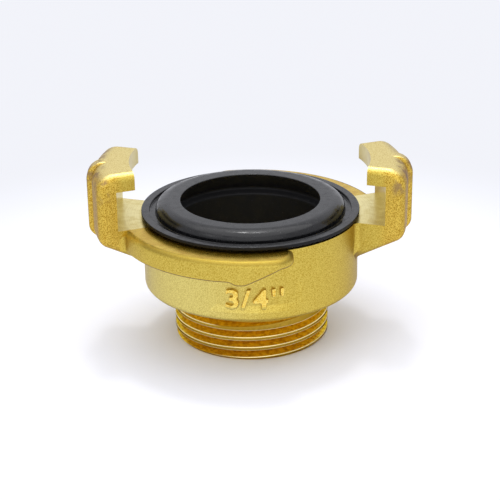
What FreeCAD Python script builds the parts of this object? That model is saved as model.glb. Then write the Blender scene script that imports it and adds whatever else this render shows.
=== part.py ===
"""Claw type quick coupling half, as used on compressed air and water hoses.

A hot forged brass body with a male pipe thread, two hook claws and two cam ramps.
A moulded rubber lip seal is snapped into the body's mouth.
Millimetres and degrees. The axis is +Z, the threaded end stands on z = 0, the claws are on +X and -X.
"""
import FreeCAD, Part
import math
import os

# Threaded stub, at the major diameter of a three quarter inch parallel pipe thread
thread_radius = 13.22
stub_end_chamfer = 0.55
waterway_radius = 9.5
waterway_chamfer = 0.5

# Barrel between the thread and the sealing face
barrel_radius = 18.2
barrel_bottom = 9.6
barrel_edge_round = 0.9
shoulder_angle = 23.0
face_height = 21.5

# Seat of the seal inside the barrel, a groove under a collar, with a ledge round the throat
groove_wall = 1.8
collar_reach = 1.1
collar_height = 2.4
seat_depth = 8.2
seat_ledge = 4.0
throat_length = 3.3

# Cam ramps, each measured round from the middle of the claw that it starts at
ramp_clearance = 1.0
ramp_thickness = 3.5
ramp_top_round = 1.0
ramp_low_round = 0.35
bump_height = 0.55
bump_foot = 79.4
bump_start = 82.2
bump_end = 86.0
bump_round = 1.5
nose_start = 100.6
nose_reach = 6.3
nose_thickness = 1.5
nose_round = 1.0
nose_corner_round = 3.5

# Claws, whose slot takes the other half's ramp and whose hook reaches in over it
claw_gap = 40.2
hook_reach = 3.2
claw_wall = 3.1
slot_height = 6.8
claw_half_angle = 19.8
claw_height = 9.75
claw_crown_round = 3.0
claw_heel_round = 2.2
claw_edge_round = 1.2
claw_side_blend = 1.0
blend_slope = 45.0
arm_root_round = 1.5
arm_thickness = 6.6
arm_angle = 28.5

# Ridge left by the forging dies round the back of each claw
ridge_height = 0.85
ridge_width = 2.4
ridge_edge_round = 0.4

# Sunk field for the size numbers on the front of the barrel
field_middle = 270.8
field_half_angle = 24.6
field_bottom = 11.0
field_height = 4.6
field_depth = 0.45
field_ledge = 1.1

# Lip seal
seal_fit = 0.1
rim_overhang = 0.2
rim_height = 1.0
rim_land = 1.35
rim_taper = 0.6
rim_taper_height = 0.5
furrow_width = 1.05
furrow_depth = 0.5
lip_width = 4.35
lip_height = 2.52
crown_reach = 1.7
crown_drop = 0.85
crown_edge_round = 0.9
crown_round = 3.0
sleeve_wall = 2.3
sleeve_height = 6.6
undercut_depth = 1.2
undercut_drop = 0.8

# A blank starts root_depth inside the barrel that carries it, and its root blend ends overlap inside
root_depth = 1.5
overlap = 0.02

# A cutting tool runs this far past what it cuts, and two tools side by side share this angle
tool_clearance = 1.0
tool_lap_angle = 2.0

# Two places closer than this are the same place
same_place = 0.001

slot_radius = claw_gap / 2 + hook_reach
claw_radius = slot_radius + claw_wall
ramp_radius = slot_radius - ramp_clearance
groove_radius = barrel_radius - groove_wall
mouth_radius = groove_radius - collar_reach
throat_radius = groove_radius - seat_ledge

AXIS = FreeCAD.Vector(0, 0, 1)
CENTRE = FreeCAD.Vector(0, 0, 0)


def rounded_outline(corners):
    """Closed wire in the XZ plane through corners given as (x, z, corner radius)."""
    points = [FreeCAD.Vector(x, 0, z) for x, z, _ in corners]
    count = len(points)
    starts = []
    ends = []
    summits = []
    for i, here in enumerate(points):
        radius = corners[i][2]
        back = (points[i - 1] - here).normalize()
        ahead = (points[(i + 1) % count] - here).normalize()
        half_angle = back.getAngle(ahead) / 2
        reach = radius / math.tan(half_angle)
        inward = (back + ahead).normalize() if radius else FreeCAD.Vector()
        starts.append(here + back * reach)
        ends.append(here + ahead * reach)
        summits.append(here + inward * (radius / math.sin(half_angle) - radius))
    edges = []
    for i in range(count):
        if corners[i][2]:
            edges.append(Part.Arc(starts[i], summits[i], ends[i]).toShape())
        following = starts[(i + 1) % count]
        if ends[i].distanceToPoint(following) > 1e-6:
            edges.append(Part.LineSegment(ends[i], following).toShape())
    return Part.Wire(edges)


def turned(corners, start=0, sweep=360):
    """Solid turned about the axis from an outline in the XZ plane."""
    face = Part.Face(rounded_outline(corners))
    face.rotate(CENTRE, AXIS, start)
    return face.revolve(CENTRE, AXIS, sweep)


def ring(inner, outer, low, high, start=0, sweep=360):
    corners = [(inner, low, 0), (outer, low, 0), (outer, high, 0), (inner, high, 0)]
    return turned(corners, start, sweep)


def across(corners, azimuth, inner, outer):
    """Prism along the radius at an azimuth, from an outline given as (along the turn, z, radius)."""
    face = Part.Face(rounded_outline(corners))
    face.rotate(CENTRE, AXIS, 90)
    face.translate(FreeCAD.Vector(inner, 0, 0))
    solid = face.extrude(FreeCAD.Vector(outer - inner, 0, 0))
    solid.rotate(CENTRE, AXIS, azimuth)
    return solid


def with_opposite(shape):
    """A shape together with its copy half a turn round the axis."""
    copy = shape.copy()
    copy.rotate(CENTRE, AXIS, 180)
    return [shape, copy]


def rounded_where(shape, radius, wanted):
    """The shape with every edge rounded whose end points and middle all pass a test."""
    edges = []
    for edge in shape.Edges:
        middle = edge.valueAt((edge.FirstParameter + edge.LastParameter) / 2)
        points = [vertex.Point for vertex in edge.Vertexes] + [middle]
        if all(wanted(point) for point in points):
            edges.append(edge)
    return shape.makeFillet(radius, edges)


def radius_of(point):
    return math.hypot(point.x, point.y)


def off_plane(point, azimuth):
    """Distance of a point from the radial plane at an azimuth."""
    angle = math.radians(azimuth)
    return abs(point.y * math.cos(angle) - point.x * math.sin(angle))


def barrel():
    """Barrel and stub, still solid inside."""
    shoulder_drop = (barrel_radius - thread_radius) * math.tan(math.radians(shoulder_angle))
    return turned([
        (0, 0, 0),
        (thread_radius - stub_end_chamfer, 0, 0),
        (thread_radius, stub_end_chamfer, 0),
        (thread_radius, barrel_bottom - shoulder_drop, 0),
        (barrel_radius, barrel_bottom, barrel_edge_round),
        (barrel_radius, face_height, 0),
        (0, face_height, 0),
    ])


def corner_filling(wall_radius, azimuth, side, radius, low, high):
    """Hollow filling between a round wall and a radial plane, on the side of it that is given."""
    along = math.sqrt((wall_radius + radius) ** 2 - radius ** 2)
    centre = FreeCAD.Vector(along, radius, 0)
    on_plane = FreeCAD.Vector(along, 0, 0)
    on_wall = centre * (wall_radius / (wall_radius + radius))
    inward = ((on_plane - centre) + (on_wall - centre)).normalize()
    behind_wall = on_wall * ((wall_radius - radius) / wall_radius)
    behind_both = FreeCAD.Vector(wall_radius - radius, -radius, 0)
    behind_plane = FreeCAD.Vector(along, -radius, 0)
    outline = Part.makePolygon([on_wall, behind_wall, behind_both, behind_plane, on_plane])
    hollow = Part.Arc(on_plane, centre + inward * radius, on_wall).toShape()
    face = Part.Face(Part.Wire(outline.Edges + [hollow]))
    face.translate(FreeCAD.Vector(0, 0, low))
    filling = face.extrude(FreeCAD.Vector(0, 0, high - low))
    if side < 0:
        filling = filling.mirror(CENTRE, FreeCAD.Vector(0, 1, 0))
    filling.rotate(CENTRE, AXIS, azimuth)
    return filling


def ramp():
    """Cam ramp from the claw on +X to its blunt nose, with the bump that the other claw rides over."""
    low = face_height - ramp_thickness
    middle = 90
    inner = barrel_radius - root_depth
    beyond_wall = ramp_radius + tool_clearance
    past_nose = 2 * ramp_radius

    def along(angle):
        return ramp_radius * math.sin(math.radians(angle - middle))

    def on_corner(point):
        return abs(point.x + nose_reach) < same_place and radius_of(point) > ramp_radius - same_place

    def on_top(point):
        on_wall = radius_of(point) > ramp_radius - same_place
        return on_wall and point.z > face_height - same_place

    def on_underside(point):
        return radius_of(point) > ramp_radius - same_place and point.z < low + same_place

    blank = ring(inner, ramp_radius, low - bump_height, face_height, 0, 2 * middle)
    beyond_nose = Part.makeBox(
        past_nose, past_nose, past_nose, FreeCAD.Vector(-nose_reach - past_nose, 0, low - bump_height))
    blank = rounded_where(blank.cut(beyond_nose), nose_corner_round, on_corner)
    blank = rounded_where(blank, ramp_top_round, on_top)

    before = along(bump_foot) - 2 * bump_round
    under = low - 2 * ramp_thickness
    cam = across([
        (before, low, 0),
        (along(bump_foot), low, bump_round),
        (along(bump_start), low - bump_height, bump_round),
        (along(bump_end), low - bump_height, bump_round),
        (along(nose_start), face_height - nose_thickness, nose_round),
        (ramp_radius, face_height - nose_thickness, 0),
        (ramp_radius, under, 0),
        (before, under, 0),
    ], middle, inner - root_depth, beyond_wall)
    cam_start = middle + math.degrees(math.asin(before / ramp_radius))
    straight = ring(
        inner - root_depth, beyond_wall, under, low, -tool_lap_angle, cam_start + 2 * tool_lap_angle)
    body = blank.cut([cam, straight]).removeSplitter()
    return rounded_where(body, ramp_low_round, on_underside)


def claw_outline(proud):
    """Section of a claw blank, grown outwards and downwards for the ridge."""
    root = barrel_radius - overlap
    outer = claw_radius + proud
    top = face_height + claw_height
    slope = math.tan(math.radians(arm_angle))
    arm_low = face_height - arm_thickness - proud / math.cos(math.radians(arm_angle))
    return [
        (root - root_depth, arm_low - arm_root_round, 0),
        (root, arm_low - arm_root_round, 0),
        (root, arm_low, arm_root_round),
        (outer, arm_low + (outer - barrel_radius) * slope, claw_heel_round),
        (outer, top, claw_crown_round),
        (root - root_depth, top, 0),
    ]


def claw():
    """Claw blank on +X with its ridge, before the slot and the hook's tip are turned."""
    blank = turned(claw_outline(0), -claw_half_angle, 2 * claw_half_angle)

    def outside_barrel(point):
        return radius_of(point) > barrel_radius - root_depth + same_place

    def on_side(point):
        side = min(off_plane(point, claw_half_angle), off_plane(point, -claw_half_angle))
        return side < same_place and outside_barrel(point)

    def on_ridge_side(point):
        return abs(abs(point.y) - ridge_width / 2) < same_place and outside_barrel(point)

    blank = rounded_where(blank, claw_edge_round, on_side)
    face = Part.Face(rounded_outline(claw_outline(ridge_height)))
    face.translate(FreeCAD.Vector(0, -ridge_width / 2, 0))
    ridge = face.extrude(FreeCAD.Vector(0, ridge_width, 0))
    ridge = rounded_where(ridge, ridge_edge_round, on_ridge_side)
    return blank.fuse(ridge).removeSplitter()


def ramp_filling():
    """Hollow filling between the claw's side and the ramp's wall, sloping off with the ramp's edge."""
    low = face_height - ramp_thickness
    beyond = ramp_radius + 2 * claw_side_blend
    edge = ramp_radius - ramp_top_round * (1 - math.tan(math.radians(blend_slope / 2)))
    drop = (beyond - edge) * math.tan(math.radians(blend_slope))
    slope = turned([
        (edge - root_depth - claw_side_blend, low, 0),
        (beyond, low, 0),
        (beyond, face_height - drop, 0),
        (edge, face_height, ramp_top_round),
        (edge - root_depth - claw_side_blend, face_height, 0),
    ], 0, 2 * claw_half_angle)
    filling = corner_filling(ramp_radius, claw_half_angle, 1, claw_side_blend, low, face_height)
    return filling.common(slope)


def forging():
    """The blank as it leaves the dies."""
    below = barrel_bottom + barrel_edge_round
    flat_side = turned(claw_outline(-claw_edge_round), -2 * claw_half_angle, 4 * claw_half_angle)
    pieces = with_opposite(claw()) + with_opposite(ramp()) + with_opposite(ramp_filling())
    for side in (1, -1):
        filling = corner_filling(
            barrel_radius, side * claw_half_angle, side, claw_side_blend, below, face_height)
        pieces += with_opposite(filling.common(flat_side))
    return barrel().fuse(pieces).removeSplitter()


def turned_away():
    """Everything that the lathe takes out of the blank."""
    seat_floor = face_height - seat_depth
    throat_end = seat_floor - throat_length
    top = face_height + claw_height + tool_clearance
    inside = mouth_radius - tool_clearance
    waterway = turned([
        (0, -tool_clearance, 0),
        (waterway_radius + waterway_chamfer + tool_clearance, -tool_clearance, 0),
        (waterway_radius, waterway_chamfer, 0),
        (waterway_radius, throat_end, 0),
        (throat_radius, seat_floor, 0),
        (groove_radius, seat_floor, 0),
        (groove_radius, face_height - collar_height, 0),
        (mouth_radius, face_height - collar_height, 0),
        (mouth_radius, face_height, 0),
        (mouth_radius, top, 0),
        (0, top, 0),
    ])
    between_claws = ring(inside, claw_gap / 2, face_height, top)
    slots = ring(inside, slot_radius, face_height, face_height + slot_height)
    return [waterway, between_claws, slots]


def number_field():
    """Sunk field for the size numbers on the barrel's front, its lower edge a sloping ledge."""
    floor = barrel_radius - field_depth
    outside = barrel_radius + tool_clearance
    slope = field_ledge / field_depth
    return turned([
        (floor, field_bottom + field_ledge, 0),
        (outside, field_bottom + field_ledge - (outside - floor) * slope, 0),
        (outside, field_bottom + field_height, 0),
        (floor, field_bottom + field_height, 0),
    ], field_middle - field_half_angle, 2 * field_half_angle)


def coupling_body():
    return forging().cut(turned_away() + [number_field()]).removeSplitter()


def seal_ring():
    """Lip seal, turned outline from the outer rim over the lip and down to the foot."""
    foot = face_height - seat_depth
    rim_radius = barrel_radius + rim_overhang
    rim_top = face_height + rim_height
    land_edge = rim_radius - rim_land
    crown_foot = land_edge - furrow_width
    lip_top = face_height + lip_height
    collar_low = face_height - collar_height - seal_fit
    foot_radius = groove_radius - seal_fit
    neck_radius = mouth_radius - seal_fit
    bore_radius = mouth_radius - sleeve_wall
    return turned([
        (rim_radius - rim_taper, face_height, 0),
        (rim_radius, face_height + rim_taper_height, 0),
        (rim_radius, rim_top, 0),
        (land_edge, rim_top, 0),
        (land_edge, rim_top - furrow_depth, 0),
        (crown_foot, rim_top - furrow_depth, 0),
        (crown_foot, lip_top - crown_drop, crown_edge_round),
        (crown_foot - crown_reach, lip_top, crown_round),
        (crown_foot - lip_width, lip_top, 0),
        (bore_radius + undercut_depth, face_height - undercut_drop, 0),
        (bore_radius, foot + sleeve_height, 0),
        (bore_radius, foot, 0),
        (foot_radius, foot, 0),
        (foot_radius, collar_low, 0),
        (neck_radius, collar_low, 0),
        (neck_radius, face_height, 0),
    ])


os.makedirs("parts", exist_ok=True)
for name, solid in (("coupling_body", coupling_body()), ("seal_ring", seal_ring())):
    solid.exportStep("parts/%s.step" % name)
    print(name, solid.isValid(), len(solid.Solids), round(solid.Volume, 1))
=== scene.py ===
"""Claw type quick coupling half in forged brass with a rubber lip seal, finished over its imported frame.

Metres, in the frame's own axes: the waterway is +Z and the middle of one claw is +X.
"""

import math

import bmesh
import bpy
from mathutils import Matrix, Vector


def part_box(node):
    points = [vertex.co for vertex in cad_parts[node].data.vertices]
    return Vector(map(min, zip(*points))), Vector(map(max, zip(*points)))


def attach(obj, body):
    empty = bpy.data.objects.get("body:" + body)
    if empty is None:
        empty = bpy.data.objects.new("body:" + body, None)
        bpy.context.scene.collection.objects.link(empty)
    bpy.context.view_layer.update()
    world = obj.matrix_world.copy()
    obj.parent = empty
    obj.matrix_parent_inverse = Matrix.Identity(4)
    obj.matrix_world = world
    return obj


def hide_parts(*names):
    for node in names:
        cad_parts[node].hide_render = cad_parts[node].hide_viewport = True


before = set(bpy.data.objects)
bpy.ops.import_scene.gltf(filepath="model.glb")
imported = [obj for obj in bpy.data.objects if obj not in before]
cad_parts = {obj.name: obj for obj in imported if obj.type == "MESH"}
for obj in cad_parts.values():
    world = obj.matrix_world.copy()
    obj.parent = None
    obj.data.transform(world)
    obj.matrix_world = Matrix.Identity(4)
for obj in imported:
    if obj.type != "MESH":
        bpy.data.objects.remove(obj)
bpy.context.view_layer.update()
millimetre = 0.001


# Forging
# The barrel, stub, ramps and claws are one piece of brass, pressed hot between two dies and then
# turned where it seals, grips and screws. It starts from the solid of the frame, its facets joined.
weld_distance = 1e-7


def joined_copy(node, name):
    """A copy of a node's mesh as one closed surface, on an object of its own."""
    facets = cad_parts[node].data
    mesh = bpy.data.meshes.new(name)
    mesh.from_pydata([v.co for v in facets.vertices], [], [list(f.vertices) for f in facets.polygons])
    surface = bmesh.new()
    surface.from_mesh(mesh)
    bmesh.ops.remove_doubles(surface, verts=surface.verts, dist=weld_distance)
    surface.to_mesh(mesh)
    surface.free()
    piece = bpy.data.objects.new(name, mesh)
    bpy.context.scene.collection.objects.link(piece)
    return piece


forging = joined_copy("coupling_body", "forged_body")


def shader_links(material):
    """Opens a material's node tree and hands back its nodes, links and main shader."""
    material.use_nodes = True
    tree = material.node_tree
    return tree.nodes, tree.links, tree.nodes["Principled BSDF"]


def parts_of(nodes, links, vector):
    """The X, Y and Z of a vector."""
    split = nodes.new("ShaderNodeSeparateXYZ")
    links.new(vector, split.inputs["Vector"])
    return split.outputs["X"], split.outputs["Y"], split.outputs["Z"]


def noise_at(nodes, links, place, grain_size, detail):
    """Noise whose grains are about as large as grain_size."""
    noise = nodes.new("ShaderNodeTexNoise")
    noise.inputs["Scale"].default_value = 1 / grain_size
    noise.inputs["Detail"].default_value = detail
    links.new(place, noise.inputs["Vector"])
    return noise.outputs["Fac"]


def share_between(nodes, links, value, none, whole, most=1.0):
    """Rises softly from 0 where value is none to most where it is whole."""
    share = nodes.new("ShaderNodeMapRange")
    share.interpolation_type = "SMOOTHSTEP"
    share.inputs["From Min"].default_value = none
    share.inputs["From Max"].default_value = whole
    share.inputs["To Max"].default_value = most
    links.new(value, share.inputs["Value"])
    return share.outputs["Result"]


def combined(nodes, links, operation, first, second):
    """One sum, product or other operation on two values."""
    node = nodes.new("ShaderNodeMath")
    node.operation = operation
    links.new(first, node.inputs[0])
    links.new(second, node.inputs[1])
    return node.outputs[0]


def where_all(nodes, links, first, *others):
    """The product of some shares, which is 1 only where each of them is."""
    for other in others:
        first = combined(nodes, links, "MULTIPLY", first, other)
    return first


def blended(nodes, links, share, first, second):
    """The first colour where share is 0 and the second where it is 1, each a colour or a link."""
    mix = nodes.new("ShaderNodeMix")
    mix.data_type = "RGBA"
    links.new(share, mix.inputs["Factor"])
    for socket, colour in ((mix.inputs[6], first), (mix.inputs[7], second)):
        if isinstance(colour, tuple):
            socket.default_value = colour
        else:
            links.new(colour, socket)
    return mix.outputs[2]


def distance_from_axis(nodes, links, place):
    """How far a point lies from the waterway's axis."""
    flat = nodes.new("ShaderNodeVectorMath")
    flat.operation = "MULTIPLY"
    flat.inputs[1].default_value = (1, 1, 0)
    links.new(place, flat.inputs[0])
    length = nodes.new("ShaderNodeVectorMath")
    length.operation = "LENGTH"
    links.new(flat.outputs["Vector"], length.inputs[0])
    return length.outputs["Value"]


# Brass of the forging
# One skin covers the whole forging, and its tone changes from zone to zone. Each zone's function
# gives a share from 0 to 1, worked out from a point's place and the way that its surface faces.
# Most zones are painted light and shade: painted light on the barrel's left and the claws' tops,
# painted shade under and along the ramps, painted dark reflections on the crowns, and a painted
# highlight with rubbed wear on the signs.
field_radius = 17.75 * millimetre
barrel_radius = 18.2 * millimetre
claw_start = 20.5 * millimetre
claw_whole = 22.5 * millimetre


def painted_light_on_barrel_left(nodes, links, radius, x):
    """The left of the barrel's wall, painted paler as painted light."""
    on_wall = share_between(
        nodes, links, radius, barrel_radius + 1.2 * millimetre, barrel_radius + 0.4 * millimetre, 0.7)
    on_left = share_between(nodes, links, x, 6 * millimetre, -12 * millimetre)
    return where_all(nodes, links, on_wall, on_left)


def painted_light_on_claw_tops(nodes, links, z, facing_up):
    """The upward faces of the hooks, well above the sealing face, painted paler as painted light."""
    upward = share_between(nodes, links, facing_up, 0.5, 0.97, 0.9)
    high_up = share_between(nodes, links, z, 22 * millimetre, 27 * millimetre)
    return where_all(nodes, links, upward, high_up)


def on_signs(nodes, links, radius, sideways, y, z):
    """The raised signs of the size mark, which stand proud of the field's floor at the front, painted
    bright as rubbed wear with a painted highlight.
    """
    raised = share_between(
        nodes, links, radius, field_radius + 0.01 * millimetre, field_radius + 0.13 * millimetre)
    near_middle = share_between(nodes, links, sideways, 6.2 * millimetre, 5.6 * millimetre, 0.85)
    low_down = share_between(nodes, links, z, 15.5 * millimetre, 15.3 * millimetre)
    above_ledge = share_between(nodes, links, z, 11.9 * millimetre, 12.2 * millimetre)
    in_front = share_between(nodes, links, y, -12 * millimetre, -14 * millimetre)
    return where_all(nodes, links, raised, near_middle, low_down, above_ledge, in_front)


def painted_shade_under_ramps(nodes, links, z, facing_up, off_arms):
    """The downward faces above the barrel's foot, painted dark as the shade under the ramps."""
    downward = share_between(nodes, links, facing_up, -0.05, -0.4, 0.8)
    above_foot = share_between(nodes, links, z, 10.6 * millimetre, 11.2 * millimetre)
    return where_all(nodes, links, downward, above_foot, off_arms)


def painted_shade_on_ramp_edges(nodes, links, z, facing_up, off_arms):
    """The rounded upper edge of the ramps, painted darker as shade that dims the highlight the lamps give
    it.
    """
    turning_up = share_between(nodes, links, facing_up, 0.15, 0.6, 0.7)
    at_face = share_between(nodes, links, z, 20.2 * millimetre, 20.8 * millimetre)
    return where_all(nodes, links, turning_up, at_face, off_arms)


def painted_dark_reflection_on_crowns(nodes, links, place, radius, z):
    """Clouds of painted dark reflection on the outside of the claws, near their tops."""
    clouds = noise_at(nodes, links, place, 1.6 * millimetre, 3.0)
    clouded = share_between(nodes, links, clouds, 0.47, 0.66, 0.8)
    outer = share_between(nodes, links, radius, 23.8 * millimetre, 25.2 * millimetre)
    crown = share_between(nodes, links, z, 25.5 * millimetre, 28.5 * millimetre)
    return where_all(nodes, links, clouded, outer, crown)


def forged_brass():
    """Brass with the fine matt grain of the blasted forging, its tone changing from zone to zone, mostly
    as painted light and shade.
    """
    material = bpy.data.materials.new("forged_brass")
    nodes, links, shader = shader_links(material)
    coordinates = nodes.new("ShaderNodeTexCoord").outputs
    place = coordinates["Object"]
    x, y, z = parts_of(nodes, links, place)
    facing_up = parts_of(nodes, links, coordinates["Normal"])[2]
    radius = distance_from_axis(nodes, links, place)
    sideways = nodes.new("ShaderNodeMath")
    sideways.operation = "ABSOLUTE"
    links.new(x, sideways.inputs[0])
    sideways = sideways.outputs[0]
    grain = noise_at(nodes, links, place, 0.16 * millimetre, 2.0)
    flecks = share_between(nodes, links, grain, 0.34, 0.62)

    def flecked(dark, light):
        return blended(nodes, links, flecks, dark, light)

    on_claw = share_between(nodes, links, sideways, claw_start, claw_whole)
    dark_gold = blended(nodes, links, on_claw, (0.49, 0.325, 0.040, 1), (0.40, 0.215, 0.016, 1))
    light_gold = blended(nodes, links, on_claw, (0.68, 0.53, 0.105, 1), (0.76, 0.55, 0.10, 1))
    skin = flecked(dark_gold, light_gold)
    # Painted light on the barrel's left wall.
    pale = flecked((0.61, 0.50, 0.15, 1), (0.78, 0.69, 0.25, 1))
    # Painted light on the claws' upward faces.
    painted_top_light = flecked((0.74, 0.59, 0.19, 1), (0.92, 0.80, 0.36, 1))
    # The signs' orange gold is rubbed wear with a painted highlight.
    signs_rubbed_and_highlit = flecked((0.78, 0.44, 0.030, 1), (1.0, 0.80, 0.20, 1))
    # Painted shade for the downward faces under the ramps.
    shade_under_ramps_colour = (0.26, 0.17, 0.08, 1)
    # Painted shade over the ramps' rounded upper edge.
    shade_on_ramp_edges_colour = (0.27, 0.19, 0.03, 1)
    # Painted dark reflection on the claws' outer crowns.
    dark_reflection_colour = (0.30, 0.19, 0.09, 1)
    off_arms = share_between(nodes, links, sideways, 19 * millimetre, 17 * millimetre)
    for zone, tone in (
        (painted_light_on_barrel_left(nodes, links, radius, x), pale),
        (painted_light_on_claw_tops(nodes, links, z, facing_up), painted_top_light),
        (on_signs(nodes, links, radius, sideways, y, z), signs_rubbed_and_highlit),
        (painted_shade_under_ramps(nodes, links, z, facing_up, off_arms), shade_under_ramps_colour),
        (painted_shade_on_ramp_edges(nodes, links, z, facing_up, off_arms), shade_on_ramp_edges_colour),
        (painted_dark_reflection_on_crowns(nodes, links, place, radius, z), dark_reflection_colour),
    ):
        skin = blended(nodes, links, zone, skin, tone)

    links.new(skin, shader.inputs["Base Color"])
    shader.inputs["Metallic"].default_value = 1.0
    shader.inputs["Roughness"].default_value = 0.42
    shader.inputs["Specular Tint"].default_value = (0.50, 0.50, 0.70, 1)
    relief = nodes.new("ShaderNodeBump")
    relief.inputs["Distance"].default_value = 0.05 * millimetre
    relief.inputs["Strength"].default_value = 0.45
    links.new(grain, relief.inputs["Height"])
    links.new(relief.outputs["Normal"], shader.inputs["Normal"])
    return material


def turned_brass():
    """Brass as the turning tool leaves it, paler and smoother, with faint rings about the axis, its
    upright faces painted darker as shade.
    """
    material = bpy.data.materials.new("turned_brass")
    nodes, links, shader = shader_links(material)
    coordinates = nodes.new("ShaderNodeTexCoord").outputs
    place = coordinates["Object"]
    facing_up = parts_of(nodes, links, coordinates["Normal"])[2]
    haze = noise_at(nodes, links, place, 1.4 * millimetre, 2.0)
    rings = noise_at(nodes, links, distance_from_axis(nodes, links, place), 0.12 * millimetre, 1.0)
    tone = share_between(nodes, links, where_all(nodes, links, haze, rings), 0.15, 0.35)
    level_colour = blended(nodes, links, tone, (0.72, 0.59, 0.21, 1), (0.88, 0.77, 0.36, 1))
    # Painted shade on the upright turned faces.
    painted_shade_on_upright = (0.58, 0.48, 0.20, 1)
    upright = share_between(nodes, links, facing_up, 0.5, 0.2, 0.7)
    colour = blended(nodes, links, upright, level_colour, painted_shade_on_upright)
    links.new(colour, shader.inputs["Base Color"])
    shader.inputs["Metallic"].default_value = 1.0
    shader.inputs["Roughness"].default_value = 0.30
    return material


def faced_brass():
    """The gold skin of the ramps' tops, faced smooth so that the seal's rim mirrors in it."""
    material = bpy.data.materials.new("faced_brass")
    nodes, links, shader = shader_links(material)
    place = nodes.new("ShaderNodeTexCoord").outputs["Object"]
    haze = noise_at(nodes, links, place, 1.8 * millimetre, 2.0)
    tone = share_between(nodes, links, haze, 0.35, 0.65)
    colour = blended(nodes, links, tone, (0.60, 0.38, 0.03, 1), (0.72, 0.50, 0.06, 1))
    links.new(colour, shader.inputs["Base Color"])
    shader.inputs["Metallic"].default_value = 1.0
    shader.inputs["Roughness"].default_value = 0.27
    return material


forging.data.materials.append(forged_brass())
forging.data.materials.append(turned_brass())
forging.data.materials.append(faced_brass())


# Size mark
# The thread's size stands raised in the sunk field at the front of the barrel. The die pressed it
# with the rest of the forging, so its signs are soft edged and part of the same metal.
sign_foot = 11.6 * millimetre
full_height = 3.5 * millimetre
tick_height = 1.5 * millimetre
tick_foot = sign_foot + full_height - tick_height
sign_root = 0.3 * millimetre
sign_thickness = barrel_radius - field_radius + 0.42 * millimetre
half_extrusion = 0.5


def cast_sign(sign, azimuth, foot, height, width):
    """One sign of plain type as a mesh, sized and bent round the floor of the field."""
    type_face = bpy.data.curves.new("sign", "FONT")
    type_face.body = sign
    type_face.extrude = half_extrusion
    type_face.offset = 0.03
    flat = bpy.data.objects.new("sign", type_face)
    bpy.context.scene.collection.objects.link(flat)
    view = bpy.context.evaluated_depsgraph_get()
    mesh = bpy.data.meshes.new_from_object(flat.evaluated_get(view), depsgraph=view)
    bpy.data.objects.remove(flat)
    xs = [v.co.x for v in mesh.vertices]
    ys = [v.co.y for v in mesh.vertices]
    middle = (min(xs) + max(xs)) / 2
    for vertex in mesh.vertices:
        x, y, z = vertex.co
        along = (x - middle) / (max(xs) - min(xs)) * width
        out = field_radius - sign_root + (z + half_extrusion) * sign_thickness
        angle = math.radians(azimuth) + along / field_radius
        up = foot + (y - min(ys)) / (max(ys) - min(ys)) * height
        vertex.co = (out * math.cos(angle), out * math.sin(angle), up)
    return mesh


signs = bmesh.new()
for sign, azimuth, foot, height, width in (
    ("3", 258.6, sign_foot, full_height, 2.1 * millimetre),
    ("/", 265.6, sign_foot, full_height, 1.7 * millimetre),
    ("4", 273.2, sign_foot, full_height, 2.5 * millimetre),
    ("'", 280.0, tick_foot, tick_height, 0.6 * millimetre),
    ("'", 284.4, tick_foot, tick_height, 0.6 * millimetre),
):
    signs.from_mesh(cast_sign(sign, azimuth, foot, height, width))
bmesh.ops.remove_doubles(signs, verts=signs.verts, dist=weld_distance)
mark = bpy.data.objects.new("size_mark", bpy.data.meshes.new("size_mark"))
signs.to_mesh(mark.data)
signs.free()
bpy.context.scene.collection.objects.link(mark)
cast = mark.modifiers.new("Cast", "REMESH")
cast.mode = "VOXEL"
cast.voxel_size = 0.07 * millimetre
soft = mark.modifiers.new("Soft edges", "SMOOTH")
soft.factor = 0.5
soft.iterations = 12


def settled(piece):
    """Turns what the modifiers make of a piece into its plain mesh and removes them."""
    view = bpy.context.evaluated_depsgraph_get()
    mesh = bpy.data.meshes.new_from_object(piece.evaluated_get(view), depsgraph=view)
    piece.modifiers.clear()
    piece.data = mesh


settled(mark)
joining = forging.modifiers.new("Raised signs", "BOOLEAN")
joining.operation = "UNION"
joining.solver = "EXACT"
joining.object = mark
settled(forging)
bpy.data.objects.remove(mark)


# Pipe thread
# The parallel thread that screws the coupling into a pipe, cut on the stub by a single point tool
# of 55 degrees whose path runs out of the metal just under the barrel.
pitch = 1.814 * millimetre
thread_depth = 1.162 * millimetre
crest_width = 0.58 * millimetre
crest_break = 0.12 * millimetre
thread_radius = 13.22 * millimetre
flank = math.tan(math.radians(55 / 2))


def threading_brass():
    """Brass cut by the threading tool, with streaks along the cut, its deep amber painted shade of the
    grooves and the crests' land painted darker as shade.
    """
    material = bpy.data.materials.new("threading_brass")
    nodes, links, shader = shader_links(material)
    place = nodes.new("ShaderNodeTexCoord").outputs["Object"]
    along = nodes.new("ShaderNodeMapping")
    along.inputs["Scale"].default_value = (1, 1, 3)
    links.new(place, along.inputs["Vector"])
    streaks = noise_at(nodes, links, along.outputs["Vector"], 0.7 * millimetre, 3.0)
    tone = share_between(nodes, links, streaks, 0.35, 0.6)
    # The deep amber of the cut is painted shade of the grooves.
    cut = blended(nodes, links, tone, (0.60, 0.35, 0.024, 1), (0.84, 0.58, 0.065, 1))
    # Painted shade on the crests' land.
    painted_shade_on_land = (0.44, 0.27, 0.030, 1)
    radius = distance_from_axis(nodes, links, place)
    under_land = thread_radius - 0.10 * millimetre
    whole_land = thread_radius - 0.04 * millimetre
    on_crest = share_between(nodes, links, radius, under_land, whole_land)
    links.new(blended(nodes, links, on_crest, cut, painted_shade_on_land), shader.inputs["Base Color"])
    shader.inputs["Metallic"].default_value = 1.0
    shader.inputs["Roughness"].default_value = 0.28
    shader.inputs["Specular Tint"].default_value = (0.30, 0.28, 0.25, 1)
    return material


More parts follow.
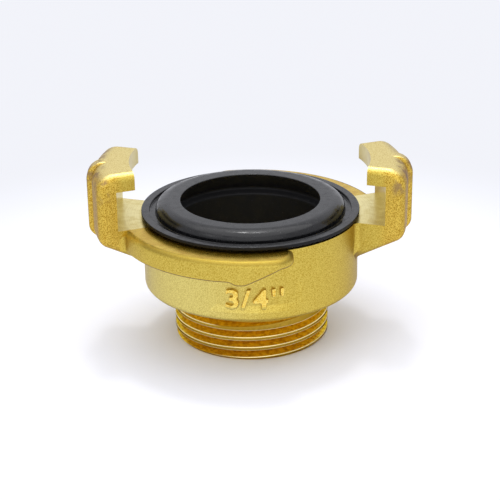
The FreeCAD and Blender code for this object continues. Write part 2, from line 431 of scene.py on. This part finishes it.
def worn_and_highlit_brass():
    """The thin broken edges of the crests, polished bright by wear and painted pale as a highlight."""
    material = bpy.data.materials.new("worn_and_highlit_brass")
    _, _, shader = shader_links(material)
    # Partly polish, partly a painted highlight along the crests' edges.
    shader.inputs["Base Color"].default_value = (0.90, 0.76, 0.36, 1)
    shader.inputs["Metallic"].default_value = 1.0
    shader.inputs["Roughness"].default_value = 0.20
    return material


forging.data.materials.append(threading_brass())
forging.data.materials.append(worn_and_highlit_brass())


def tool_outline():
    """The tool's tip as a closed curve, x outwards from the crest and y along the thread's axis."""
    at_crest = (pitch - crest_width) / 2
    root = at_crest - thread_depth * flank
    break_start = 0.4 * crest_break
    beyond = 0.3 * millimetre
    lower = [
        (-thread_depth, -root),
        (-break_start, break_start * flank - at_crest),
        (0, -at_crest - 0.8 * crest_break),
        (beyond, -at_crest - crest_break),
    ]
    points = lower + [(x, -y) for x, y in reversed(lower)]
    curve = bpy.data.curves.new("thread_tool", "CURVE")
    spline = curve.splines.new("POLY")
    spline.points.add(len(points) - 1)
    for point, (x, y) in zip(spline.points, points):
        point.co = (x, y, 0, 1)
    spline.use_cyclic_u = True
    tool = bpy.data.objects.new("thread_tool", curve)
    bpy.context.scene.collection.objects.link(tool)
    return tool


def thread_tree():
    """Geometry nodes that sweep the tool along its helix and cut the path out of the blank."""
    tree = bpy.data.node_groups.new("Pipe thread", "GeometryNodeTree")
    tree.is_modifier = True
    sockets = tree.interface
    sockets.new_socket("Blank", in_out="INPUT", socket_type="NodeSocketGeometry")
    for name, kind in (
        ("Tool", "NodeSocketObject"),
        ("Steps", "NodeSocketInt"),
        ("Radius", "NodeSocketFloat"),
        ("Pitch", "NodeSocketFloat"),
        ("Start height", "NodeSocketFloat"),
        ("Turns", "NodeSocketFloat"),
        ("Start angle", "NodeSocketFloat"),
        ("Run out turns", "NodeSocketFloat"),
        ("Run out", "NodeSocketFloat"),
        ("Finish", "NodeSocketMaterial"),
    ):
        sockets.new_socket(name, in_out="INPUT", socket_type=kind)
    sockets.new_socket("Threaded", in_out="OUTPUT", socket_type="NodeSocketGeometry")
    nodes = tree.nodes
    links = tree.links
    given = nodes.new("NodeGroupInput").outputs
    result = nodes.new("NodeGroupOutput")

    def calculate(operation, first, second=None, third=None):
        node = nodes.new("ShaderNodeMath")
        node.operation = operation
        for slot, value in zip(node.inputs, (first, second, third)):
            if isinstance(value, (int, float)):
                slot.default_value = value
            elif value is not None:
                links.new(value, slot)
        return node.outputs[0]

    steps = nodes.new("GeometryNodeMeshLine")
    links.new(given["Steps"], steps.inputs["Count"])
    index = nodes.new("GeometryNodeInputIndex").outputs["Index"]
    share = calculate("DIVIDE", index, calculate("SUBTRACT", given["Steps"], 1))
    turn = calculate("MULTIPLY", share, given["Turns"])
    angle = calculate("MULTIPLY_ADD", turn, 2 * math.pi, given["Start angle"])
    height = calculate("MULTIPLY_ADD", turn, given["Pitch"], given["Start height"])
    left = calculate("SUBTRACT", given["Turns"], turn)
    run_out = nodes.new("ShaderNodeMapRange")
    run_out.interpolation_type = "SMOOTHSTEP"
    links.new(left, run_out.inputs["Value"])
    links.new(given["Run out turns"], run_out.inputs["From Min"])
    run_out.inputs["From Max"].default_value = 0
    run_out.inputs["To Min"].default_value = 0
    links.new(given["Run out"], run_out.inputs["To Max"])
    radius = calculate("ADD", given["Radius"], run_out.outputs["Result"])
    position = nodes.new("ShaderNodeCombineXYZ")
    links.new(calculate("MULTIPLY", radius, calculate("COSINE", angle)), position.inputs["X"])
    links.new(calculate("MULTIPLY", radius, calculate("SINE", angle)), position.inputs["Y"])
    links.new(height, position.inputs["Z"])
    helix = nodes.new("GeometryNodeSetPosition")
    links.new(steps.outputs["Mesh"], helix.inputs["Geometry"])
    links.new(position.outputs["Vector"], helix.inputs["Position"])
    path = nodes.new("GeometryNodeMeshToCurve")
    links.new(helix.outputs["Geometry"], path.inputs["Mesh"])
    upright = nodes.new("GeometryNodeSetCurveNormal")
    upright.mode = "Z_UP"
    links.new(path.outputs["Curve"], upright.inputs["Curve"])
    tool = nodes.new("GeometryNodeObjectInfo")
    links.new(given["Tool"], tool.inputs["Object"])
    sweep = nodes.new("GeometryNodeCurveToMesh")
    sweep.inputs["Fill Caps"].default_value = True
    links.new(upright.outputs["Curve"], sweep.inputs["Curve"])
    links.new(tool.outputs["Geometry"], sweep.inputs["Profile Curve"])
    finish = nodes.new("GeometryNodeSetMaterial")
    links.new(sweep.outputs["Mesh"], finish.inputs["Geometry"])
    links.new(given["Finish"], finish.inputs["Material"])
    whole = nodes.new("GeometryNodeRealizeInstances")
    links.new(finish.outputs["Geometry"], whole.inputs["Geometry"])
    cut = nodes.new("GeometryNodeMeshBoolean")
    cut.operation = "DIFFERENCE"
    cut.solver = "EXACT"
    links.new(given["Blank"], cut.inputs["Mesh 1"])
    links.new(whole.outputs["Geometry"], cut.inputs["Mesh 2"])
    links.new(cut.outputs["Mesh"], result.inputs["Threaded"])
    return tree


def give(modifier, values):
    """Sets a modifier's named inputs."""
    for item in modifier.node_group.interface.items_tree:
        if item.name in values:
            modifier[item.identifier] = values[item.name]


crest_at_front = math.radians(268.6)
crest_height = 2.17 * millimetre
turns_below_crest = 2.5
thread_tool = tool_outline()
thread = forging.modifiers.new("Thread", "NODES")
thread.node_group = thread_tree()
give(thread, {
    "Tool": thread_tool,
    "Steps": 480,
    "Radius": thread_radius,
    "Pitch": pitch,
    "Start height": crest_height - turns_below_crest * pitch,
    "Turns": 5.2,
    "Start angle": crest_at_front,
    "Run out turns": 0.3,
    "Run out": 1.3 * thread_depth,
    "Finish": forging.data.materials["threading_brass"],
})
settled(forging)
bpy.data.objects.remove(thread_tool)


# Turned faces
# The lathe has cleaned the stub, the inside of the barrel, the slots under the hooks and the hooks'
# tips, and faced the tops of the ramps. Everything else keeps the skin of the forging.
forged, turned, faced, threaded, worn_and_highlit = range(5)
hook_tip_radius = 20.1 * millimetre
slot_radius = 23.3 * millimetre
inside_of_barrel = 16.5 * millimetre
inside_of_stub = thread_radius - 1.5 * thread_depth
hook_underside = 28.3 * millimetre
face_height = 21.5 * millimetre
stub_top = 7.49 * millimetre
slot_half_angle = 19.6
same = 0.03 * millimetre
nearly_level = 0.99
nearly_upright = 0.05


def finish_of(centre, normal):
    """Which finish a face of the forging with this middle and normal has."""
    radius = math.hypot(centre.x, centre.y)
    if centre.z < stub_top:
        near_crest = radius > thread_radius - 1.1 * crest_break
        if near_crest and 0.3 < abs(normal.z) < 0.85:
            return worn_and_highlit
        return turned if radius < inside_of_stub else threaded
    if centre.z < face_height - same:
        return turned if radius < inside_of_barrel else forged
    off_claw = math.degrees(math.atan2(abs(centre.y), abs(centre.x)))
    in_slot = radius < slot_radius and off_claw < slot_half_angle
    if abs(normal.z) > nearly_level:
        if abs(centre.z - face_height) < same:
            return turned if in_slot else faced
        return turned if abs(centre.z - hook_underside) < same and in_slot else forged
    round_wall = abs(radius - hook_tip_radius) < same or abs(radius - slot_radius) < same
    return turned if round_wall and abs(normal.z) < nearly_upright else forged


def at_sealing_face(face):
    """Whether a face lies level at the height that the seal and the slots' floors share."""
    return face.normal.z > nearly_level and abs(face.calc_center_median().z - face_height) < same


surface = bmesh.new()
surface.from_mesh(forging.data)
bmesh.ops.remove_doubles(surface, verts=surface.verts, dist=weld_distance)
for angle in (slot_half_angle, -slot_half_angle):
    across = Vector((-math.sin(math.radians(angle)), math.cos(math.radians(angle)), 0))
    level = [face for face in surface.faces if at_sealing_face(face)]
    edges = {edge for face in level for edge in face.edges}
    corners = {corner for face in level for corner in face.verts}
    parted = level + list(edges) + list(corners)
    bmesh.ops.bisect_plane(surface, geom=parted, dist=weld_distance, plane_co=(0, 0, 0), plane_no=across)
for face in surface.faces:
    face.material_index = finish_of(face.calc_center_median(), face.normal)
    face.smooth = True


# Number field
# The ends of the sunk field slope instead of standing square, and its borders stay crisp, so that
# the light breaks along them.
ledge_foot = 11.0 * millimetre
ledge_top = 12.1 * millimetre
field_top = 15.6 * millimetre
field_middle = 270.8
field_half_angle = 24.6
side_slope = 3.2
same_angle = 0.1
field_crease = 12
plain_crease = 32


def off_field_middle(place):
    """Degrees from the middle of the number field, to the right as it is looked at."""
    return (math.degrees(math.atan2(place.y, place.x)) - field_middle + 180) % 360 - 180


for corner in surface.verts:
    off = off_field_middle(corner.co)
    sunk = abs(math.hypot(corner.co.x, corner.co.y) - field_radius) < same
    at_end = abs(abs(off) - field_half_angle) < same_angle
    if sunk and at_end and ledge_foot < corner.co.z < field_top + same:
        corner.co.rotate(Matrix.Rotation(math.radians(-math.copysign(side_slope, off)), 3, "Z"))
surface.normal_update()


def is_ledge(face):
    """Whether a face belongs to the slope under the number field."""
    middle = face.calc_center_median()
    in_width = abs(off_field_middle(middle)) < field_half_angle + same_angle
    in_height = ledge_foot < middle.z < ledge_top
    slopes_up = 0.2 < face.normal.z < 0.6
    faces_front = face.normal.y < -0.7
    return in_width and in_height and slopes_up and faces_front


for edge in surface.edges:
    ends = [abs(off_field_middle(v.co)) for v in edge.verts]
    ledge_border = len({is_ledge(face) for face in edge.link_faces}) == 2
    on_side = all(off > field_half_angle - side_slope - same_angle for off in ends)
    in_field = all(off < field_half_angle + same_angle for off in ends)
    crease = field_crease if in_field and (ledge_border or on_side) else plain_crease
    edge.smooth = edge.calc_face_angle(math.pi) < math.radians(crease)
surface.to_mesh(forging.data)
surface.free()


def with_level_faces(piece):
    """Bends a piece's normals towards its larger faces, so that its flat faces look flat."""
    level_faces = piece.modifiers.new("Level faces", "WEIGHTED_NORMAL")
    level_faces.keep_sharp = True
    settled(piece)


with_level_faces(forging)
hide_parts("coupling_body")
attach(forging, "root")


# Seal
# A moulded ring of black rubber. Its rim lies on the sealing face, its raised lip presses on the
# other half's lip, and its foot is snapped into the groove in the barrel's mouth.
seal_low, seal_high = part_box("seal_ring")
rim_radius = seal_high.x / millimetre
lip_top = seal_high.z / millimetre
foot = seal_low.z / millimetre
sealing_face = 21.5
furrow_floor = 22.0
rim_top = 22.5
rim_taper = 0.6
rim_land = 1.35
crown_foot = rim_radius - 2.4
crown_top = rim_radius - 4.1
lip_edge = rim_radius - 6.75
undercut = 14.2
undercut_top = 20.7
undercut_foot = 19.9
bore = 13.0
foot_radius = 16.3
foot_top = 19.0
neck_radius = 15.2
mould_edge = 0.12
hidden_edge = 0.1


def seal_outline():
    """Half of the ring's section as corners of radius, height and rounding, in millimetres."""
    return [
        (rim_radius - rim_taper, sealing_face, hidden_edge),
        (rim_radius, furrow_floor, mould_edge),
        (rim_radius, rim_top, 0.07),
        (rim_radius - rim_land, rim_top, mould_edge),
        (rim_radius - rim_land, furrow_floor, mould_edge),
        (crown_foot, furrow_floor, 0.15),
        (crown_foot, lip_top - 0.6, 1.45),
        (crown_top, lip_top, 3.0),
        (lip_edge, lip_top, mould_edge),
        (undercut, undercut_top, 0.5),
        (bore, undercut_foot, 0.5),
        (bore, foot, 0.3),
        (foot_radius, foot, 0.3),
        (foot_radius, foot_top, hidden_edge),
        (neck_radius, foot_top, hidden_edge),
        (neck_radius, sealing_face, hidden_edge),
    ]


def rounded(corners, steps):
    """The points of a closed outline whose corners are rounded by arcs of so many steps."""
    points = []
    for number, (x, y, rounding) in enumerate(corners):
        corner = Vector((x, y))
        before = (Vector(corners[number - 1][:2]) - corner).normalized()
        after = (Vector(corners[(number + 1) % len(corners)][:2]) - corner).normalized()
        half = before.angle(after) / 2
        centre = corner + (before + after).normalized() * rounding / math.sin(half)
        first = corner + before * rounding / math.tan(half) - centre
        last = corner + after * rounding / math.tan(half) - centre
        sweep = first.angle_signed(last)
        for step in range(steps + 1):
            turned_by = Matrix.Rotation(-sweep * step / steps, 2)
            points.append(centre + turned_by @ first)
    return points


def turned_ring(outline, steps):
    """A closed ring made by turning an outline of radius and height once round the axis."""
    surface = bmesh.new()
    rows = []
    for step in range(steps):
        angle = 2 * math.pi * step / steps
        across, along = math.cos(angle), math.sin(angle)
        rows.append([surface.verts.new((p.x * across, p.x * along, p.y)) for p in outline])
    for row, following in zip(rows, rows[1:] + rows[:1]):
        for number, corner in enumerate(row):
            surface.faces.new((row[number - 1], following[number - 1], following[number], corner))
    bmesh.ops.scale(surface, vec=(millimetre,) * 3, verts=surface.verts)
    bmesh.ops.recalc_face_normals(surface, faces=surface.faces)
    mesh = bpy.data.meshes.new("ring")
    surface.to_mesh(mesh)
    surface.free()
    return mesh


def rubber(name, shine, smoothest, dullest):
    """Black rubber as the mould leaves it, with a few specks of dust."""
    material = bpy.data.materials.new(name)
    nodes, links, shader = shader_links(material)
    place = nodes.new("ShaderNodeTexCoord").outputs["Object"]
    skin = noise_at(nodes, links, place, 1.1 * millimetre, 3.0)
    specks = noise_at(nodes, links, place, 0.14 * millimetre, 1.0)
    dust = share_between(nodes, links, specks, 0.74, 0.78, 0.6)
    colour = blended(nodes, links, dust, (0.006, 0.006, 0.007, 1), (0.16, 0.16, 0.17, 1))
    links.new(colour, shader.inputs["Base Color"])
    shader.inputs["Specular IOR Level"].default_value = shine
    gloss = nodes.new("ShaderNodeMapRange")
    gloss.inputs["From Min"].default_value = 0.35
    gloss.inputs["From Max"].default_value = 0.65
    gloss.inputs["To Min"].default_value = smoothest
    gloss.inputs["To Max"].default_value = dullest
    links.new(skin, gloss.inputs["Value"])
    links.new(gloss.outputs["Result"], shader.inputs["Roughness"])
    return material


arc_steps = 6
ring_steps = 256
bore_side = 14.6
under_lip = 0.15
rim_wall = 0.02
seal = bpy.data.objects.new("lip_seal", turned_ring(rounded(seal_outline(), arc_steps), ring_steps))
bpy.context.scene.collection.objects.link(seal)
seal.data.materials.append(rubber("rubber", 0.38, 0.12, 0.34))
seal.data.materials.append(rubber("rubber_inside", 0.20, 0.45, 0.60))
for face in seal.data.polygons:
    radius = math.hypot(face.center.x, face.center.y) / millimetre
    in_bore = radius < bore_side and face.center.z < (lip_top - under_lip) * millimetre
    on_rim_wall = radius > rim_radius - rim_wall
    face.material_index = 1 if in_bore or on_rim_wall else 0
seal.data.shade_smooth()
seal.data.set_sharp_from_angle(angle=math.radians(40))
with_level_faces(seal)
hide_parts("seal_ring")
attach(seal, "root")


# Studio
# A pale sheet and a bright room all round. One large soft lamp hangs overhead with a small one
# behind it, a wide one stands behind the camera, and a weak one at the left.
backdrop_colour = (0.89, 0.90, 0.955, 1)
fade_start = 30 * millimetre
fade_end = 100 * millimetre


def backdrop():
    """Matt pale floor that fades into the backdrop's even tone away from the object."""
    material = bpy.data.materials.new("backdrop")
    nodes, links, shader = shader_links(material)
    shader.inputs["Base Color"].default_value = backdrop_colour
    shader.inputs["Roughness"].default_value = 0.9
    shader.inputs["Specular IOR Level"].default_value = 0.0
    place = nodes.new("ShaderNodeTexCoord").outputs["Object"]
    distance = nodes.new("ShaderNodeVectorMath")
    distance.operation = "LENGTH"
    links.new(place, distance.inputs[0])
    fade = share_between(nodes, links, distance.outputs["Value"], fade_start, fade_end)
    even = nodes.new("ShaderNodeEmission")
    even.inputs["Color"].default_value = backdrop_colour
    blend = nodes.new("ShaderNodeMixShader")
    links.new(fade, blend.inputs["Fac"])
    links.new(shader.outputs["BSDF"], blend.inputs[1])
    links.new(even.outputs["Emission"], blend.inputs[2])
    links.new(blend.outputs["Shader"], nodes["Material Output"].inputs["Surface"])
    return material


reach = 30.0
floor_corners = [(-reach, -reach, 0), (reach, -reach, 0), (reach, reach, 0), (-reach, reach, 0)]
floor_mesh = bpy.data.meshes.new("floor")
floor_mesh.from_pydata(floor_corners, [], [(0, 1, 2, 3)])
floor_mesh.materials.append(backdrop())
floor = bpy.data.objects.new("floor", floor_mesh)
bpy.context.scene.collection.objects.link(floor)


def bright_room():
    """A room brighter at the back and the ceiling, in whose place the camera, and what mirrors or
    shines through, meets an even pale backdrop."""
    world = bpy.data.worlds.new("room")
    world.use_nodes = True
    nodes = world.node_tree.nodes
    links = world.node_tree.links
    walls = nodes["Background"]
    walls.inputs["Color"].default_value = backdrop_colour
    _, y, z = parts_of(nodes, links, nodes.new("ShaderNodeTexCoord").outputs["Generated"])
    towards_back = share_between(nodes, links, y, -0.9, 0.3, 0.40)
    towards_ceiling = share_between(nodes, links, z, 0.1, 0.8, 0.15)
    brightness = nodes.new("ShaderNodeMath")
    brightness.operation = "ADD"
    brightness.inputs[1].default_value = 0.36
    links.new(combined(nodes, links, "ADD", towards_back, towards_ceiling), brightness.inputs[0])
    links.new(brightness.outputs[0], walls.inputs["Strength"])
    seen = nodes.new("ShaderNodeBackground")
    seen.inputs["Color"].default_value = backdrop_colour
    seen.inputs["Strength"].default_value = 1.0
    ray = nodes.new("ShaderNodeLightPath").outputs
    bounced = combined(nodes, links, "MAXIMUM", ray["Is Glossy Ray"], ray["Is Transmission Ray"])
    choose = nodes.new("ShaderNodeMixShader")
    links.new(combined(nodes, links, "MAXIMUM", ray["Is Camera Ray"], bounced), choose.inputs["Fac"])
    links.new(walls.outputs[0], choose.inputs[1])
    links.new(seen.outputs[0], choose.inputs[2])
    links.new(choose.outputs[0], nodes["World Output"].inputs["Surface"])
    return world


bpy.context.scene.world = bright_room()


def softbox(name, place, width, watts):
    """A round soft lamp that is aimed at the middle of the coupling."""
    lamp = bpy.data.lights.new(name, "AREA")
    lamp.shape = "DISK"
    lamp.size = width
    lamp.energy = watts
    holder = bpy.data.objects.new(name, lamp)
    place = Vector(place)
    coupling_middle = Vector((0, 0, 0.015))
    turn = (place - coupling_middle).to_track_quat("Z", "Y").to_matrix().to_4x4()
    holder.matrix_world = Matrix.Translation(place) @ turn
    bpy.context.scene.collection.objects.link(holder)


softbox("overhead", (0.0, 0.0, 0.8), 1.3, 4.9)
softbox("small_overhead", (0.0, 0.26, 0.8), 0.12, 0.8)
softbox("front", (0.05, -0.8, 0.34), 1.1, 1.6)
softbox("left_front", (-0.6, -0.5, 0.45), 0.4, 0.4)

camera_data = bpy.data.cameras.new("camera")
camera_data.lens = 108
camera_data.sensor_width = 36
camera_data.clip_start = 0.01
camera = bpy.data.objects.new("camera", camera_data)
aim = Vector((-0.15, 0, 14.48)) * millimetre
camera_distance = 256.38 * millimetre
camera_azimuth = -1.4
camera_height_angle = 22.54
camera_roll = -0.75
camera.matrix_world = (
    Matrix.Rotation(math.radians(camera_azimuth), 4, "Z")
    @ Matrix.Translation(aim)
    @ Matrix.Rotation(math.radians(90 - camera_height_angle), 4, "X")
    @ Matrix.Rotation(math.radians(camera_roll), 4, "Z")
    @ Matrix.Translation((0, 0, camera_distance))
)
bpy.context.scene.collection.objects.link(camera)
bpy.context.scene.camera = camera
bpy.context.scene.view_settings.view_transform = "Standard"
